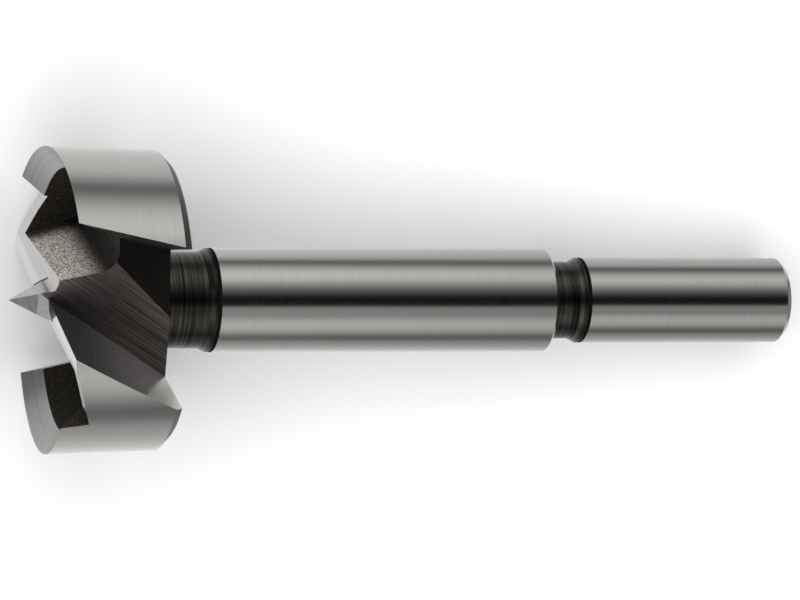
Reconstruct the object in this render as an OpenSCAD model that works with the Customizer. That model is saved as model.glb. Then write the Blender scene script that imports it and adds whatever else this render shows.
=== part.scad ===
// Forstner bit with a stepped round shank, lying on a flat surface as it comes to rest.
// The bit is drawn upright, shank end at z = 0 and centre point upwards, then laid down.

/* [Shank and shaft] */
// Diameter of the shank that the chuck holds
shank_d = 10; // [9.9:0.1:11]
// Length of the ground shank
shank_len = 25.4; // [20:0.2:40]
// Chamfer on the end of the shank
shank_chamfer = 0.7; // [0.3:0.1:1.2]
// Diameter of the turned groove between the shank and the shaft
groove_d = 9; // [6:0.1:9.1]
// Length of the turned groove, its collar included
groove_len = 4.2; // [3:0.1:8]
// Diameter of the ground shaft
shaft_d = 12; // [12:0.1:13]
// Length of the ground shaft
shaft_len = 40.6; // [20:0.2:80]
// Edge break at both ends of the shaft
shaft_edge = 0.25; // [0.1:0.05:0.5]
// Diameter of the turned neck behind the head
neck_d = 11.1; // [9:0.1:11.1]
// Length of the turned neck, its collar included
neck_len = 5.65; // [4:0.05:10]
// Length of the dark turned collars beside the ground faces, undercut included
collar_len = 0.75; // [0.6:0.05:1.4]
// Radius of the rounded edge of a collar
collar_round = 0.2; // [0.1:0.02:0.2]
// Radius of the hollow fillet between a collar and its groove
collar_fillet = 0.22; // [0.1:0.02:0.22]
// Length of the fine undercut between a collar and the ground face
undercut_len = 0.2; // [0.1:0.02:0.3]
// Depth of the fine undercut
undercut_depth = 0.15; // [0.05:0.01:0.2]

/* [Head] */
// Diameter of the head at its scoring edge
head_d = 35; // [30:0.5:40]
// Length of the head, from its back face to the scoring edge
head_len = 13.85; // [11:0.05:18]
// Taper of the head towards its back, on each side, in degrees
back_taper = 1.5; // [0.5:0.1:3]
// Depth of the turned dish in the back of the head, at the neck
back_dish = 0.35; // [0:0.05:0.6]
// Chamfer on the back edge of the head
back_chamfer = 0.95; // [0.3:0.05:1.2]
// Wall of the scoring rim, from its outside to the hollow
rim_wall = 2.45; // [1.8:0.05:3.2]
// Depth of the ground bevel inside the scoring edge
bevel_depth = 2.3; // [1.5:0.1:3]
// Fall of the scoring edge from its leading end to its trailing end, in degrees
rim_tilt = 2.1; // [0:0.1:3]
// Angle from the throat flat to the leading end of the rim
rim_start = 125.2; // [110:0.2:130]
// Slope of the leading end of the rim, in degrees off the axis
rim_start_slope = 10; // [0:1:40]
// Depth of the hollow behind each lip, below the scoring edge
hollow_depth = 7.7; // [5:0.1:8.5]
// Radius of the forged fillet at the foot of the hollow
hollow_fillet = 3; // [1:0.1:3.5]

/* [Cutting lips] */
// Angle that the lips lie behind the throat flats
lip_clock = 25.4; // [15:0.1:30]
// Distance of each lip ahead of the centre line
lip_ahead = 1; // [0.3:0.05:1.2]
// Depth of the lips below the scoring edge
lip_drop = 0.45; // [0.2:0.05:1]
// Width of the ground land behind each lip
land_width = 1.4; // [0.8:0.1:2]
// Clearance angle of the land
land_clearance = 7.5; // [4:0.5:12]
// Clearance angle of the relief behind the land
relief_clearance = 18.5; // [14:0.5:24]
// Half thickness of the web at the back of the relief
web_back = 2.7; // [2.2:0.1:4]
// Angle by which the back of the web closes on the lip towards the rim
web_close = 5.5; // [0:0.5:10]
// Slope of the forged web in the hollow, in degrees off the axis
web_slope = 21; // [10:1:28]

/* [Chip throats] */
// Hook angle of the rake face under each lip
hook = 29; // [20:0.5:34]
// Slope of the milled web end, in degrees off the axis
web_end_slope = 21; // [15:0.5:24]
// Distance of the throat flat outside the neck
flat_gap = 0.85; // [0.2:0.05:1.2]
// Height of the trailing end of the rim above the throat's middle, at the scoring edge
rim_end_y = 8.7; // [7:0.1:10]
// Slope of the trailing end of the rim, in degrees off the axis
rim_end_slope = 12.6; // [0:0.2:16]

/* [Centre point] */
// Angle that the flats of the point and the milled web ends lie behind the throat flats
point_clock = 22.4; // [15:0.1:30]
// Height of the centre point above the scoring edge
point_height = 3.75; // [2:0.05:6]
// Half angle of the square point, across its flats
point_half_angle = 21.8; // [16:0.2:26]
// Height above the scoring edge at which the ground foot of the point starts
point_foot = 0.6; // [0.2:0.1:1]
// Radius of the ground foot of the point
point_fillet = 1.1; // [0.8:0.1:2]

/* [Hidden] */
$fn = 96;
steel = "silver";

// Places along the axis
groove_z = shank_len;
shaft_z = groove_z + groove_len;
neck_z = shaft_z + shaft_len;
head_z = neck_z + neck_len;
rim_z = head_z + head_len;
tip_z = rim_z + point_height;

// Radii
shank_r = shank_d / 2;
shaft_r = shaft_d / 2;
neck_r = neck_d / 2;
head_r = head_d / 2;
back_r = head_r - head_len * tan(back_taper);
hollow_r = head_r - rim_wall;
web_end_start = (point_height - point_foot) * tan(point_half_angle);
flat_x = neck_r + flat_gap;

// Depth of the point's root in the web
point_base = lip_drop + web_back;

// Reach of a cutter past the faces that it cuts
past = 1;
reach = head_r + 4 * past;
above = point_height + past;
below = -head_len - past;

// Depth ground off the sharp scoring edge, and depth to which the point's fillet runs into its faces
edge_grind = 0.03;
fillet_sink = 0.1;

// Overlap between the turned pieces of a collar
collar_overlap = 0.1;

// Height of the secondary relief where it starts
relief_n = land_width - lip_ahead;
relief_z = -lip_drop - land_width * tan(land_clearance);

// Points that the bit rests on: a lip's corner, the rim's back corner and the shank's end
function rake_n(z) = lip_ahead + (z + lip_drop) * tan(hook);
function rim_end(z) = rim_end_y + z * tan(rim_end_slope);
lip_n = lip_ahead;
lip_r = head_r - lip_drop * tan(back_taper);
lip_turn = asin(lip_n / lip_r) - lip_clock;
corner_a = [-lip_r * cos(lip_turn), -lip_r * sin(lip_turn), rim_z - lip_drop];
back_edge_r = back_r + back_chamfer * tan(back_taper);
corner_y = rim_end(back_chamfer - head_len);
corner_b = [-sqrt(pow(back_edge_r, 2) - pow(corner_y, 2)), -corner_y, head_z + back_chamfer];
rest_z = shank_chamfer;

// The plane through both corners that touches the shank's end
run_a = corner_a[2] - rest_z;
run_b = corner_b[2] - rest_z;
side_x = corner_a[0] / run_a - corner_b[0] / run_b;
side_y = corner_a[1] / run_a - corner_b[1] / run_b;
side_c = shank_r * (1 / run_a - 1 / run_b);
down_turn = atan2(side_y, side_x) + acos(side_c / norm([side_x, side_y]));
down_slope = (corner_a[0] * cos(down_turn) + corner_a[1] * sin(down_turn) - shank_r) / run_a;
nose_up = atan(down_slope);
rest_height = (shank_r - down_slope * rest_z) * cos(nose_up);
mid_x = (tip_z * cos(nose_up) - (shank_r - shank_chamfer) * sin(nose_up)) / 2;

// Turned profile of one ground length with broken edges
module ground_bar(z, length, radius, break_a, break_b) {
    polygon([
        [0, z],
        [radius - break_a, z],
        [radius, z + break_a],
        [radius, z + length - break_b],
        [radius - break_b, z + length],
        [0, z + length]
    ]);
}

// Turned groove with an undercut and a round collar at its lower end, and a hollow fillet above it
module turned_groove(z, length, radius, collar_r) {
    round_r = collar_r - collar_round;
    translate([0, z]) {
        square([radius, length]);
        square([collar_r - undercut_depth, undercut_len + collar_overlap]);
        translate([0, undercut_len])
            square([collar_r, collar_len - collar_round - undercut_len]);
        translate([0, undercut_len])
            square([round_r, collar_len - undercut_len]);
        translate([round_r, collar_len - collar_round])
            circle(r = collar_round);
        difference() {
            translate([0, collar_len - collar_overlap])
                square([radius + collar_fillet, collar_fillet + collar_overlap]);
            translate([radius + collar_fillet, collar_len + collar_fillet])
                circle(r = collar_fillet);
        }
    }
}

// Shank, groove, shaft and neck, turned in one piece and running into the head
module turned_stem() {
    rotate_extrude()
        union() {
            ground_bar(0, shank_len, shank_r, shank_chamfer, shaft_edge);
            turned_groove(groove_z, groove_len, groove_d / 2, shank_r);
            ground_bar(shaft_z, shaft_len, shaft_r, shaft_edge, shaft_edge);
            turned_groove(neck_z, neck_len + past, neck_r, shaft_r);
        }
}

// Places its children at the lips' angle, with x along a lip and y ahead of it
module at_lip() {
    rotate([0, 0, -lip_clock])
        children();
}

// Places its children at the angle of the centre point's flats
module at_point() {
    rotate([0, 0, -point_clock])
        children();
}

// Extrudes a profile of y and z along x, from one x to another
module along_x(from, to) {
    translate([from, 0, 0])
        rotate([90, 0, 90])
            linear_extrude(height = to - from)
                children();
}

// Extrudes a profile of x and z along y, over the head's full width
module along_y() {
    translate([0, reach, 0])
        rotate([90, 0, 0])
            linear_extrude(height = 2 * reach)
                children();
}

// Makes a feature for both lips
module both() {
    for (turn = [0, 180])
        rotate([0, 0, turn])
            children();
}

// Round blank of the head, tapered to the back
module head_blank() {
    rotate_extrude()
        polygon([
            [0, back_dish - head_len],
            [neck_r, back_dish - head_len],
            [back_r - back_chamfer, -head_len],
            [back_edge_r, back_chamfer - head_len],
            [head_r, 0],
            [0, 0]
        ]);
}

// Profile of the hollow across the web, with its forged fillet
module hollow_profile() {
    foot_n = web_back + (hollow_depth - lip_drop) * tan(web_slope);
    top_n = web_back - (lip_drop + above) * tan(web_slope);
    side = hollow_fillet * tan((90 - web_slope) / 2);
    touch = [foot_n - side * sin(web_slope), side * cos(web_slope) - hollow_depth];
    polygon([
        [top_n, above],
        touch,
        [foot_n + side, touch[1]],
        [foot_n + side, -hollow_depth],
        [reach, -hollow_depth],
        [reach, above]
    ]);
    translate([foot_n + side, hollow_fillet - hollow_depth])
        circle(r = hollow_fillet);
}

// Forged hollow behind one lip, inside the rim
module hollow() {
    intersection() {
        at_lip()
            rotate([0, 0, web_close])
                along_x(-reach, reach)
                    hollow_profile();
        translate([0, 0, -head_len])
            cylinder(r = hollow_r, h = head_len + 2 * above);
    }
}

// Sector of the head that keeps its scoring rim, from its leading end onwards, with an overlap
module rim_sector(overlap = 0) {
    difference() {
        rotate([0, 0, rim_start])
            along_x(-head_r / 3, reach)
                polygon([
                    [overlap - above * tan(rim_start_slope), above],
                    [overlap - below * tan(rim_start_slope), below],
                    [-reach, below],
                    [-reach, above]
                ]);
        translate([0, 0, below - past])
            cylinder(r = hollow_r - 2 * past, h = head_len + 2 * above);
    }
}

// Clearance behind one lip, ground across the rim up to its leading end and round the point's foot
module lip_relief() {
    fall = (reach - relief_n) * tan(relief_clearance);
    in_point_n = lip_ahead + past / 2;
    difference() {
        at_lip()
            difference() {
                along_x(-reach, web_end_start + 2 * past)
                    polygon([
                        [-lip_ahead - past, past * tan(land_clearance) - lip_drop],
                        [relief_n, relief_z],
                        [reach, relief_z - fall],
                        [reach, above],
                        [-lip_ahead - past, above]
                    ]);
                along_x(0, reach)
                    translate([-reach, below])
                        square([reach + in_point_n, reach]);
            }
        rim_sector();
    }
}

// Bevel ground inside the scoring edge of one rim
module rim_bevel() {
    edge_drop = head_r * cos(rim_start) * sin(rim_tilt) - edge_grind;
    slope = bevel_depth / rim_wall;
    intersection() {
        rim_sector(past / 2);
        translate([0, 0, edge_drop])
            rotate([0, rim_tilt, 0])
                rotate_extrude()
                    polygon([
                        [hollow_r - past, -bevel_depth - past * slope],
                        [reach, (reach - head_r) * slope],
                        [reach, above],
                        [hollow_r - past, above]
                    ]);
    }
}

// Chip throat ahead of one lip: rake face, milled web end, flat and rim end
module throat() {
    web_end_top = web_end_start + (point_foot - above) * tan(web_end_slope);
    web_end_foot = web_end_start + (point_foot - below) * tan(web_end_slope);
    intersection() {
        at_lip()
            along_x(-reach, reach)
                polygon([
                    [rake_n(below), below],
                    [rake_n(above), above],
                    [reach, above],
                    [reach, below]
                ]);
        union() {
            at_point()
                along_y()
                    polygon([
                        [web_end_foot, below],
                        [web_end_top, above],
                        [reach, above],
                        [reach, below]
                    ]);
            translate([flat_x, -reach, below])
                cube([reach, 2 * reach, above - below]);
        }
        along_x(0, reach)
            polygon([
                [rim_end(below), below],
                [rim_end(above), above],
                [-reach, above],
                [-reach, below]
            ]);
    }
}

// Half of the point's side view: a straight flat with a ground fillet onto a falling foot line
module point_half(foot_x, foot_z, fall) {
    flat = tan(point_half_angle);
    stand_off = point_fillet - fillet_sink;
    reach_x = stand_off / cos(point_half_angle) + point_height * flat;
    reach_z = stand_off / cos(fall) + foot_z + foot_x * tan(fall);
    fillet_x = (reach_x - flat * reach_z) / (1 - flat * tan(fall));
    fillet_z = reach_z - fillet_x * tan(fall);
    top = [
        fillet_x - stand_off * cos(point_half_angle),
        fillet_z - stand_off * sin(point_half_angle)
    ];
    foot = [fillet_x - stand_off * sin(fall), fillet_z - stand_off * cos(fall)];
    point_flat();
    difference() {
        polygon([top, foot, [foot[0], -point_base], [0, -point_base], [0, top[1]]]);
        translate([fillet_x, fillet_z])
            circle(r = point_fillet);
    }
}

// Both halves of a side view
module mirrored() {
    children();
    mirror([1, 0])
        children();
}

// Square centre point with four flats, its foot ground into the lips and their relief
module centre_point() {
    at_point()
        intersection() {
            along_x(-reach, reach)
                mirrored()
                    point_half(relief_n, relief_z, relief_clearance);
            along_y()
                mirrored()
                    point_flat();
        }
}

// Half of the point's side view without its fillet
module point_flat() {
    polygon([
        [0, point_height],
        [(point_height + point_base) * tan(point_half_angle), -point_base],
        [0, -point_base]
    ]);
}

// Cutting head with its rim, lips, throats and centre point, scoring edge at z = 0
module head() {
    difference() {
        union() {
            difference() {
                head_blank();
                both()
                    hollow();
                both()
                    lip_relief();
                both()
                    rim_bevel();
            }
            centre_point();
        }
        both()
            throat();
    }
}

// Lays the upright bit on a lip's corner, the rim's back corner and the shank's end
module at_rest() {
    translate([mid_x, 0, rest_height])
        rotate([0, nose_up - 90, 0])
            rotate([0, 0, 180 - down_turn])
                children();
}

module forstner_bit() {
    color(steel)
        at_rest()
            union() {
                turned_stem();
                translate([0, 0, rim_z])
                    head();
            }
}

forstner_bit();
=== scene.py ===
"""Forstner bit of bare steel, lying on a pale studio floor.

The stem is turned by a node tree, the cutting head is cut from a turned blank, and each surface gets the
finish of the tool that made it: ground, milled, turned or forged.
"""

import logging
import math
from collections.abc import Callable, Iterable
from dataclasses import dataclass, field
from enum import Enum
from typing import NamedTuple

import bmesh
import bpy
from mathutils import Matrix, Vector


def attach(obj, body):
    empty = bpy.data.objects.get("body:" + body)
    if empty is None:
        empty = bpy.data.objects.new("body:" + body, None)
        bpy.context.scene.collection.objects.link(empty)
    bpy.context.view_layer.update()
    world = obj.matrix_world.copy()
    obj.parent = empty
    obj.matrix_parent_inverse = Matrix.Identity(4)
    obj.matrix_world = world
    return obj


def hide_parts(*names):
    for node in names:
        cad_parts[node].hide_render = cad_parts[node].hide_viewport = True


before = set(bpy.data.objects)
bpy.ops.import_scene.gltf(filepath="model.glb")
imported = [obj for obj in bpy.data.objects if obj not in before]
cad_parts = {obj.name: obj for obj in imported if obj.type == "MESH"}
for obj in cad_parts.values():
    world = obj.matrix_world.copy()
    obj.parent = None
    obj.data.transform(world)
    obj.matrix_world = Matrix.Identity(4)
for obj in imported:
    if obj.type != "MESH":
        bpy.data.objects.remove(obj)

logging.basicConfig(level=logging.INFO, format="%(levelname)s %(message)s")
LOG = logging.getLogger("forstner_bit")

NODE = "forstner_bit"
PIECE = "forstner_bit_steel"
MM = 0.001
SEED = 7
# Angles of the two wings of the head
WINGS = (0, 180)
# Attributes of a corner: its place on the upright bit in millimetres, and its mark in the turned outline
BIT_COORDINATES = "bit"
TURNED_MARK = "turned"
# Marks of a corner, and the mean of a face's marks above which it is rough or painted near black as shade
GROUND = 0.0
ROUGH = 1.0
PAINTED_SHADE_MARK = 3.0
ROUGH_ABOVE = 0.75
PAINTED_SHADE_ABOVE = 1.25
# Cosine above which a face looks along a direction
FLAT_DOT = 0.9995
# Distances in millimetres within which points are one: in a solid, on a cut, in the stem, in the whole bit
SOLID_MERGE = 1e-6
CUT_MERGE = 1e-5
STEM_MERGE = 1e-4
BIT_MERGE = 3e-3
# Least divisor
TINY = 1e-6


def tan_deg(angle: float) -> float:
    """Tangent of an angle in degrees."""
    return math.tan(math.radians(angle))


def turn_z(angle: float) -> Matrix:
    """Rotation about the bit's axis in degrees, counter-clockwise as seen from the tip."""
    return Matrix.Rotation(math.radians(angle), 4, "Z")


def arc(centre: tuple[float, float], radius: float, angles: Iterable[float]) -> list[tuple[float, float]]:
    """Points on an arc at angles in radians."""
    return [(centre[0] + radius * math.cos(angle), centre[1] + radius * math.sin(angle)) for angle in angles]


@dataclass(frozen=True)
class BitSizes:
    """Sizes of the bit, in millimetres and degrees, shank end at zero and tip upwards."""

    shank_d: float = 10.0
    shank_len: float = 25.4
    shank_chamfer: float = 0.7
    groove_d: float = 9.0
    groove_len: float = 4.2
    shaft_d: float = 12.0
    shaft_len: float = 40.6
    shaft_edge: float = 0.25
    neck_d: float = 11.1
    neck_len: float = 5.65
    flare_len: float = 1.05
    undercut_len: float = 0.2
    undercut_depth: float = 0.3
    head_d: float = 35.0
    head_len: float = 13.85
    back_taper: float = 1.5
    back_dish: float = 0.35
    back_chamfer: float = 0.95
    rim_wall: float = 2.45
    bevel_depth: float = 2.3
    rim_tilt: float = 2.1
    rim_start: float = 125.2
    rim_start_slope: float = 10.0
    hollow_depth: float = 7.7
    hollow_fillet: float = 3.0
    lip_clock: float = 25.4
    lip_ahead: float = 1.0
    lip_drop: float = 0.45
    land_width: float = 1.4
    land_clearance: float = 7.5
    relief_clearance: float = 18.5
    web_back: float = 2.7
    web_close: float = 5.5
    web_slope: float = 21.0
    hook: float = 29.0
    web_end_slope: float = 21.0
    flat_gap: float = 0.85
    rim_end_y: float = 8.7
    rim_end_slope: float = 12.6
    point_clock: float = 22.4
    point_height: float = 3.75
    point_half_angle: float = 21.8
    point_foot: float = 0.6
    point_fillet: float = 1.1
    fillet_sink: float = 0.1
    edge_grind: float = 0.03

    @property
    def shaft_z(self) -> float:
        """Height of the shaft's lower end."""
        return self.shank_len + self.groove_len

    @property
    def neck_z(self) -> float:
        """Height of the neck's lower end."""
        return self.shaft_z + self.shaft_len

    @property
    def head_z(self) -> float:
        """Height of the head's back face."""
        return self.neck_z + self.neck_len

    @property
    def rim_z(self) -> float:
        """Height of the scoring edge."""
        return self.head_z + self.head_len

    @property
    def tip_z(self) -> float:
        """Height of the centre point's tip."""
        return self.rim_z + self.point_height

    @property
    def head_r(self) -> float:
        """Radius of the head at the scoring edge."""
        return self.head_d / 2

    @property
    def back_r(self) -> float:
        """Radius of the head at its back."""
        return self.head_r - self.head_len * tan_deg(self.back_taper)

    @property
    def back_edge_r(self) -> float:
        """Radius of the head where its back chamfer starts."""
        return self.back_r + self.back_chamfer * tan_deg(self.back_taper)

    @property
    def hollow_r(self) -> float:
        """Radius of the rim's inner wall."""
        return self.head_r - self.rim_wall

    @property
    def neck_r(self) -> float:
        """Radius of the neck."""
        return self.neck_d / 2

    @property
    def flat_x(self) -> float:
        """Distance of a throat's flat from the axis."""
        return self.neck_r + self.flat_gap

    @property
    def web_end_start(self) -> float:
        """Distance of the milled web end from the axis at the point's foot."""
        return (self.point_height - self.point_foot) * tan_deg(self.point_half_angle)

    @property
    def relief_n(self) -> float:
        """Place across the web where the secondary relief starts."""
        return self.land_width - self.lip_ahead

    @property
    def relief_z(self) -> float:
        """Height of the secondary relief where it starts, below the scoring edge."""
        return -self.lip_drop - self.land_width * tan_deg(self.land_clearance)

    def rake_n(self, z: float) -> float:
        """Place of the rake face ahead of the centre line, at a height from the scoring edge."""
        return self.lip_ahead + (z + self.lip_drop) * tan_deg(self.hook)

    def rim_end(self, z: float) -> float:
        """Place of the rim's trailing end across the throat, at a height from the scoring edge."""
        return self.rim_end_y + z * tan_deg(self.rim_end_slope)

    def web_end_x(self, z: float) -> float:
        """Distance of the milled web end from the axis, at a height from the scoring edge."""
        return self.web_end_start + (self.point_foot - z) * tan_deg(self.web_end_slope)

    @property
    def rake_facing(self) -> Vector:
        """Direction in which the first wing's rake face looks."""
        hook = math.radians(self.hook)
        return turn_z(-self.lip_clock) @ Vector((0, math.cos(hook), -math.sin(hook)))

    @property
    def web_end_facing(self) -> Vector:
        """Direction in which the first wing's milled web end looks."""
        slope = math.radians(self.web_end_slope)
        return turn_z(-self.point_clock) @ Vector((math.cos(slope), 0, math.sin(slope)))

    def clearance_facing(self, clearance: float) -> Vector:
        """Direction of a ground face behind the first wing's lip, by its clearance in degrees."""
        fall = math.radians(clearance)
        return turn_z(-self.lip_clock) @ Vector((0, math.sin(fall), math.cos(fall)))


@dataclass(frozen=True)
class RestPose:
    """How the bit lies at rest: on a lip's corner, the rim's back corner and the shank's end."""

    sizes: BitSizes

    def matrix(self) -> Matrix:
        """Placement of the upright bit in millimetres as the lying bit in metres.

        Returns:
            The placement as a 4 by 4 matrix.
        """
        s = self.sizes
        lip_r = s.head_r - s.lip_drop * tan_deg(s.back_taper)
        lip_turn = math.asin(s.lip_ahead / lip_r) - math.radians(s.lip_clock)
        lip_x, lip_y = -lip_r * math.cos(lip_turn), -lip_r * math.sin(lip_turn)
        lip_corner = Vector((lip_x, lip_y, s.rim_z - s.lip_drop))
        rim_y = s.rim_end(s.back_chamfer - s.head_len)
        rim_x = -math.sqrt(s.back_edge_r**2 - rim_y**2)
        rim_corner = Vector((rim_x, -rim_y, s.head_z + s.back_chamfer))
        shank_r = s.shank_d / 2
        lip_run = lip_corner.z - s.shank_chamfer
        rim_run = rim_corner.z - s.shank_chamfer
        # The floor touches the shank's end and both corners, which gives the direction that points down
        side = Vector(
            (
                lip_corner.x / lip_run - rim_corner.x / rim_run,
                lip_corner.y / lip_run - rim_corner.y / rim_run,
            )
        )
        level = shank_r * (1 / lip_run - 1 / rim_run)
        down_turn = math.atan2(side.y, side.x) + math.acos(level / side.length)
        lip_reach = lip_corner.x * math.cos(down_turn) + lip_corner.y * math.sin(down_turn)
        slope = (lip_reach - shank_r) / lip_run
        nose_up = math.atan(slope)
        rest_height = (shank_r - slope * s.shank_chamfer) * math.cos(nose_up)
        mid_x = (s.tip_z * math.cos(nose_up) - (shank_r - s.shank_chamfer) * math.sin(nose_up)) / 2
        laid = Matrix.Translation((mid_x, 0.0, rest_height)) @ Matrix.Rotation(nose_up - math.pi / 2, 4, "Y")
        return Matrix.Scale(MM, 4) @ laid @ Matrix.Rotation(math.pi - down_turn, 4, "Z")


class Finish(Enum):
    """Surfaces of the bit by the tool that made them."""

    GROUND = "ground"
    BEVEL = "bevel"
    LAND = "land"
    LIP = "lip"
    POINT = "point"
    RAKE = "rake"
    REAR = "rear"
    MILLED = "milled"
    FLAT = "flat"
    INNER = "inner"
    FORGED = "forged"
    TURNED = "turned"
    CHAMFER = "chamfer"
    # Near black: painted shade in the stem's undercuts
    UNDERCUT_SHADE = "undercut"


class Grain(Enum):
    """Direction of the marks that a tool leaves on a surface."""

    AROUND = "around"
    RINGS = "rings"
    ALONG_LIP = "along_lip"
    ALONG_WEB_END = "along_web_end"
    SCATTERED = "scattered"


class PaintedShadeBy(Enum):
    """What a painted shade goes by: the height up from the scoring edge, or the distance from the axis."""

    HEIGHT = "height"
    RADIUS = "radius"


@dataclass(frozen=True)
class PaintedShade:
    """Painted shade: the share of a colour left at two places in millimetres, with a soft change between
    them.
    """

    by: PaintedShadeBy
    first: float
    last: float
    first_share: float
    last_share: float


@dataclass(frozen=True)
class SteelFinish:
    """Look of one finish.

    Attributes:
        light: Colour of the light marks.
        dark: Colour of the dark marks.
        roughness: Roughness between the light and the dark marks.
        grain: Direction of the marks.
        pitch: Size of the marks in millimetres.
        bump: Depth of the marks as a share of their size.
        contrast: Range of the noise that goes from dark to light.
        speckle: Range of the noise that makes pits, 0 for none.
        metallic: Share of bare metal.
        painted_shades: Painted shade: how the colour is darkened over the bit.
    """

    light: tuple[float, float, float]
    dark: tuple[float, float, float]
    roughness: float
    grain: Grain
    pitch: float
    bump: float
    contrast: tuple[float, float] = (0.3, 0.7)
    speckle: float = 0.0
    metallic: float = 1.0
    painted_shades: tuple[PaintedShade, ...] = ()


FINISHES: dict[Finish, SteelFinish] = {
    Finish.GROUND: SteelFinish((0.628, 0.615, 0.59), (0.597, 0.584, 0.56), 0.17, Grain.AROUND, 0.13, 0.002),
    Finish.BEVEL: SteelFinish((0.42, 0.415, 0.40), (0.32, 0.315, 0.305), 0.32, Grain.RINGS, 0.1, 0.02),
    Finish.LAND: SteelFinish((0.72, 0.715, 0.70), (0.66, 0.655, 0.64), 0.30, Grain.ALONG_LIP, 0.12, 0.01),
    Finish.LIP: SteelFinish((0.65, 0.645, 0.63), (0.54, 0.535, 0.52), 0.32, Grain.ALONG_LIP, 0.14, 0.01),
    Finish.POINT: SteelFinish((0.40, 0.40, 0.40), (0.28, 0.28, 0.28), 0.32, Grain.AROUND, 0.14, 0.01),
    Finish.RAKE: SteelFinish(
        (0.88, 0.845, 0.83),
        (0.82, 0.785, 0.77),
        0.24,
        Grain.ALONG_LIP,
        0.5,
        0.01,
        metallic=0.92,
        # Painted shade: the rake face darkens towards the scoring edge, down to a quarter of its colour
        painted_shades=(PaintedShade(PaintedShadeBy.HEIGHT, -12.0, -1.0, 1.0, 0.26),),
    ),
    Finish.REAR: SteelFinish(
        (0.95, 0.94, 0.89), (0.90, 0.89, 0.84), 0.24, Grain.ALONG_LIP, 0.3, 0.01, metallic=0.86
    ),
    Finish.MILLED: SteelFinish(
        (0.34, 0.313, 0.294), (0.07, 0.062, 0.057), 0.45, Grain.ALONG_WEB_END, 0.16, 0.08
    ),
    Finish.FLAT: SteelFinish((0.068, 0.060, 0.053), (0.046, 0.040, 0.035), 0.5, Grain.SCATTERED, 0.4, 0.05),
    Finish.INNER: SteelFinish(
        (0.050, 0.044, 0.038),
        (0.020, 0.017, 0.014),
        0.6,
        Grain.SCATTERED,
        0.4,
        0.1,
        contrast=(0.4, 0.8),
        metallic=0.3,
    ),
    Finish.FORGED: SteelFinish(
        (1.0, 0.94, 0.86),
        (0.30, 0.26, 0.23),
        0.6,
        Grain.SCATTERED,
        0.30,
        0.6,
        contrast=(0.44, 0.55),
        speckle=0.35,
        metallic=0.22,
        # Painted shade: the forged web darkens deep in the hollow and towards the rim
        painted_shades=(
            PaintedShade(PaintedShadeBy.HEIGHT, -6.7, -4.0, 0.04, 1.0),
            PaintedShade(PaintedShadeBy.RADIUS, 10.6, 14.2, 1.0, 0.07),
        ),
    ),
    Finish.TURNED: SteelFinish((0.130, 0.121, 0.108), (0.010, 0.009, 0.008), 0.28, Grain.AROUND, 0.2, 0.06),
    Finish.CHAMFER: SteelFinish((0.10, 0.095, 0.09), (0.075, 0.07, 0.066), 0.4, Grain.AROUND, 0.2, 0.02),
    # Painted shade: near black for the shade in the stem's undercuts and on the faces beside them
    Finish.UNDERCUT_SHADE: SteelFinish(
        (0.010, 0.009, 0.008), (0.005, 0.0045, 0.004), 0.6, Grain.AROUND, 0.2, 0.02, metallic=0.3
    ),
}


class TreeBuilder:
    """Adds nodes to a tree, and links or sets their inputs."""

    def __init__(self, tree: bpy.types.NodeTree) -> None:
        """Takes over a tree and empties it.

        Args:
            tree: The tree.
        """
        self.tree = tree
        self.tree.nodes.clear()

    def node(self, kind: str, **settings: object) -> bpy.types.Node:
        """Adds a node.

        Args:
            kind: Blender's type name of the node.
            settings: Properties of the node.

        Returns:
            The node.
        """
        made = self.tree.nodes.new(kind)
        for name, value in settings.items():
            setattr(made, name, value)
        return made

    def feed(self, socket: bpy.types.NodeSocket, value: object) -> None:
        """Links a socket or sets its constant.

        Args:
            socket: The input.
            value: An output socket, or a constant.
        """
        if isinstance(value, bpy.types.NodeSocket):
            self.tree.links.new(value, socket)
        else:
            socket.default_value = value

    def maths(self, operation: str, *values: object) -> bpy.types.NodeSocket:
        """One step of arithmetic.

        Args:
            operation: Blender's name of the operation.
            values: Sockets or constants.

        Returns:
            The result.
        """
        made = self.node("ShaderNodeMath", operation=operation)
        for socket, value in zip(made.inputs, values):
            self.feed(socket, value)
        return made.outputs[0]

    def combine(self, x: object, y: object, z: object) -> bpy.types.NodeSocket:
        """A vector of three values.

        Args:
            x: First value.
            y: Second value.
            z: Third value.

        Returns:
            The vector.
        """
        made = self.node("ShaderNodeCombineXYZ")
        for socket, value in zip(made.inputs, (x, y, z)):
            self.feed(socket, value)
        return made.outputs[0]


class Place(NamedTuple):
    """Sockets with a place on the upright bit: the whole of it and its parts."""

    vector: bpy.types.NodeSocket
    x: bpy.types.NodeSocket
    y: bpy.types.NodeSocket
    z: bpy.types.NodeSocket


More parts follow.
